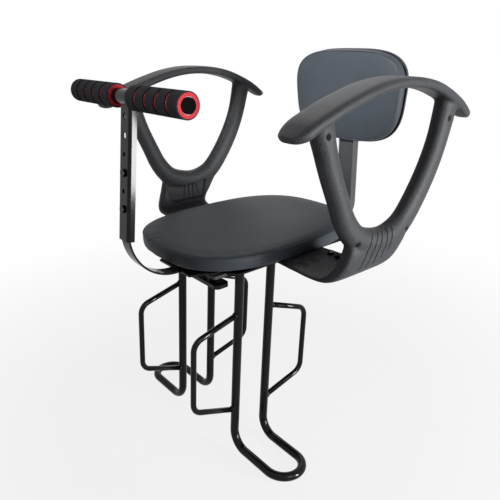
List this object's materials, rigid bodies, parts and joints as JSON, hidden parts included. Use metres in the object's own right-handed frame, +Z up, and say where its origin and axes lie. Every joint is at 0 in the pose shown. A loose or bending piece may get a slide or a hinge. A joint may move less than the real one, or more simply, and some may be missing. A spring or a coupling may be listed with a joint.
{
  "type": "rear child bike seat",
  "caption": "Child seat for a bicycle's rear rack: padded oval seat and backrest, foam-gripped handrail on a post, moulded loop armrests and tube footrests with side guards.",
  "frame": {"origin": "middle of the clamp, on the plane of the rack's top face", "axes": "+Z up, -Y is the way the child faces and rides, +X is the child's left"},
  "size_m": [0.514, 0.4753, 0.6134],
  "materials": {
    "cover_leather": "smooth soft cover with a faint grain",
    "plywood": "raw birch plywood",
    "arm_plastic": "matte with a fine moulded grain",
    "black_plastic": "satin",
    "pad_rubber": "matte",
    "red_foam": "closed-cell foam",
    "black_foam": "closed-cell foam skin",
    "zinc_steel": "zinc plated",
    "black_paint": "gloss black powder coat"
  },
  "bodies": {
    "root": {"seat_cushion": "cover_leather", "seat_board": "plywood", "board_tee_nuts": "zinc_steel", "board_screws": "zinc_steel", "base_plate": "black_paint", "rail_left": "black_paint", "rail_right": "black_paint", "rack_pad_left": "pad_rubber", "rack_pad_right": "pad_rubber", "clamp_bar_front": "black_paint", "clamp_bar_rear": "black_paint", "rack_bolts": "zinc_steel", "rack_washers": "zinc_steel", "rack_nuts": "zinc_steel", "arm_left": "arm_plastic", "arm_right": "arm_plastic", "arm_bolts_left": "black_paint", "arm_bolts_right": "black_paint", "backrest_cushion": "cover_leather", "backrest_board": "plywood", "backrest_cover": "black_plastic", "backrest_bar": "black_paint", "backrest_sleeve": "black_plastic", "backrest_bolts": "zinc_steel", "backrest_tee_nuts": "zinc_steel", "bar_bolts": "zinc_steel", "bar_nuts": "zinc_steel", "handrail_strap": "black_paint", "handrail_post": "black_paint", "post_bolts": "black_paint", "post_nuts": "black_paint", "strap_bolts": "black_paint", "strap_nuts": "black_paint", "handlebar_tube": "black_paint", "tube_plugs": "black_plastic", "grip_core_left": "red_foam", "grip_core_right": "red_foam", "grip_skin_left": "black_foam", "grip_skin_right": "black_foam", "footrest_left": "black_paint", "footrest_right": "black_paint", "guard_front_left": "black_paint", "guard_rear_left": "black_paint", "guard_front_right": "black_paint", "guard_rear_right": "black_paint"}
  },
  "joints": []
}
